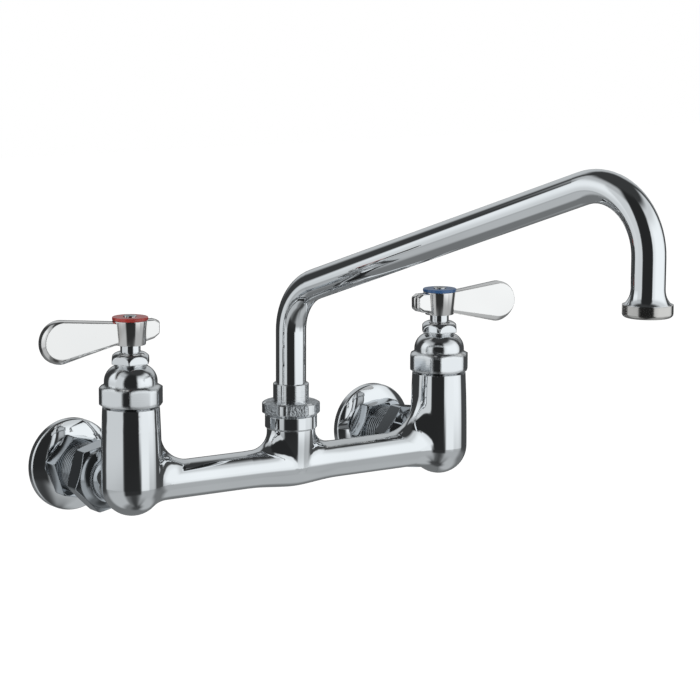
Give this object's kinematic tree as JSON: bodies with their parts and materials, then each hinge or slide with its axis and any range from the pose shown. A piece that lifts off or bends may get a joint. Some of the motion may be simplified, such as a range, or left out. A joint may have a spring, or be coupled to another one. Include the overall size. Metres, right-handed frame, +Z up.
{
  "type": "commercial wall faucet",
  "caption": "Wall-mounted mixing faucet: cross-tube body, hot and cold lever valves, wall unions with flanges, and a tall slanting swing spout with a screwed-on aerator.",
  "frame": {"origin": "on the wall plane, midway between the two inlets, at the height of the cross tube's axis", "axes": "+Z up, +Y into the wall, +X towards the cold valve (the right-hand one, seen from in front)"},
  "size_m": [0.3116, 0.3328, 0.2057],
  "materials": {
    "cast_chrome": "brass casting, ground and mirror chrome plated, faintly uneven from hand polishing",
    "turned_chrome": "brass hexagon bar and turnings, mirror chrome plated with soft machined edges",
    "lever_chrome": "die cast lever, mirror chrome plated",
    "stem_chrome": "turned brass spindle, chrome plated",
    "shank_chrome": "chrome plated brass with a cut thread",
    "flange_chrome": "pressed shell, mirror chrome plated",
    "spout_chrome": "drawn and bent brass tube, mirror chrome plated",
    "sleeve_chrome": "turned collar, chrome plated, faint lathe marks",
    "knurled_chrome": "chrome plated nut with satin, slightly rough flats",
    "aerator_nickel": "satin nickel plated housing, warmer than the chrome",
    "cartridge_brass": "machined brass, unplated",
    "ceramic_disc": "lapped alumina",
    "valve_rubber": "moulded nitrile rubber",
    "washer_rubber": "punched rubber sheet",
    "packing_plastic": "turned white low-friction plastic",
    "insert_plastic": "moulded acetal, pale grey",
    "index_red": "moulded red index disc",
    "index_blue": "moulded blue index disc",
    "screw_steel": "machined stainless steel screw",
    "clip_steel": "stainless spring wire",
    "screen_steel": "woven stainless mesh"
  },
  "bodies": {
    "body": {"body_casting": "cast_chrome", "hot_seat_seal": "valve_rubber", "hot_fixed_disc": "ceramic_disc", "hot_cartridge_shell": "cartridge_brass", "hot_bonnet_gasket": "valve_rubber", "hot_bonnet": "turned_chrome", "hot_gland_packing": "packing_plastic", "hot_packing_nut": "turned_chrome", "hot_coupling_nut": "turned_chrome", "hot_union_clip": "clip_steel", "hot_union_washer": "washer_rubber", "hot_inlet_shank": "shank_chrome", "hot_wall_flange": "flange_chrome", "cold_seat_seal": "valve_rubber", "cold_fixed_disc": "ceramic_disc", "cold_cartridge_shell": "cartridge_brass", "cold_bonnet_gasket": "valve_rubber", "cold_bonnet": "turned_chrome", "cold_gland_packing": "packing_plastic", "cold_packing_nut": "turned_chrome", "cold_coupling_nut": "turned_chrome", "cold_union_clip": "clip_steel", "cold_union_washer": "washer_rubber", "cold_inlet_shank": "shank_chrome", "cold_wall_flange": "flange_chrome", "spout_nut": "knurled_chrome", "spout_thrust_washer": "packing_plastic"},
    "hot_valve": {"hot_stem": "stem_chrome", "hot_stem_oring": "valve_rubber", "hot_moving_disc": "ceramic_disc", "hot_handle": "lever_chrome", "hot_index_ring": "index_red", "hot_handle_screw": "screw_steel"},
    "cold_valve": {"cold_stem": "stem_chrome", "cold_stem_oring": "valve_rubber", "cold_moving_disc": "ceramic_disc", "cold_handle": "lever_chrome", "cold_index_ring": "index_blue", "cold_handle_screw": "screw_steel"},
    "spout": {"spout_tube": "spout_chrome", "spout_sleeve": "sleeve_chrome", "spout_oring_lower": "valve_rubber", "spout_oring_upper": "valve_rubber", "aerator_housing": "aerator_nickel", "aerator_insert": "insert_plastic", "aerator_screen": "screen_steel", "aerator_washer": "washer_rubber"}
  },
  "joints": [
    {"name": "hot_handle_turn", "type": "hinge", "parent": "body", "child": "hot_valve", "pos_m": [-0.1016, -0.06985, 0], "axis": [0, 0, 1], "range_deg": [0, 90]},
    {"name": "cold_handle_turn", "type": "hinge", "parent": "body", "child": "cold_valve", "pos_m": [0.1016, -0.06985, 0], "axis": [0, 0, 1], "range_deg": [-90, 0]},
    {"name": "spout_swing", "type": "hinge", "parent": "body", "child": "spout", "pos_m": [0, -0.06985, 0], "axis": [0, 0, 1], "range_deg": [-109.4, 90.6]}
  ]
}
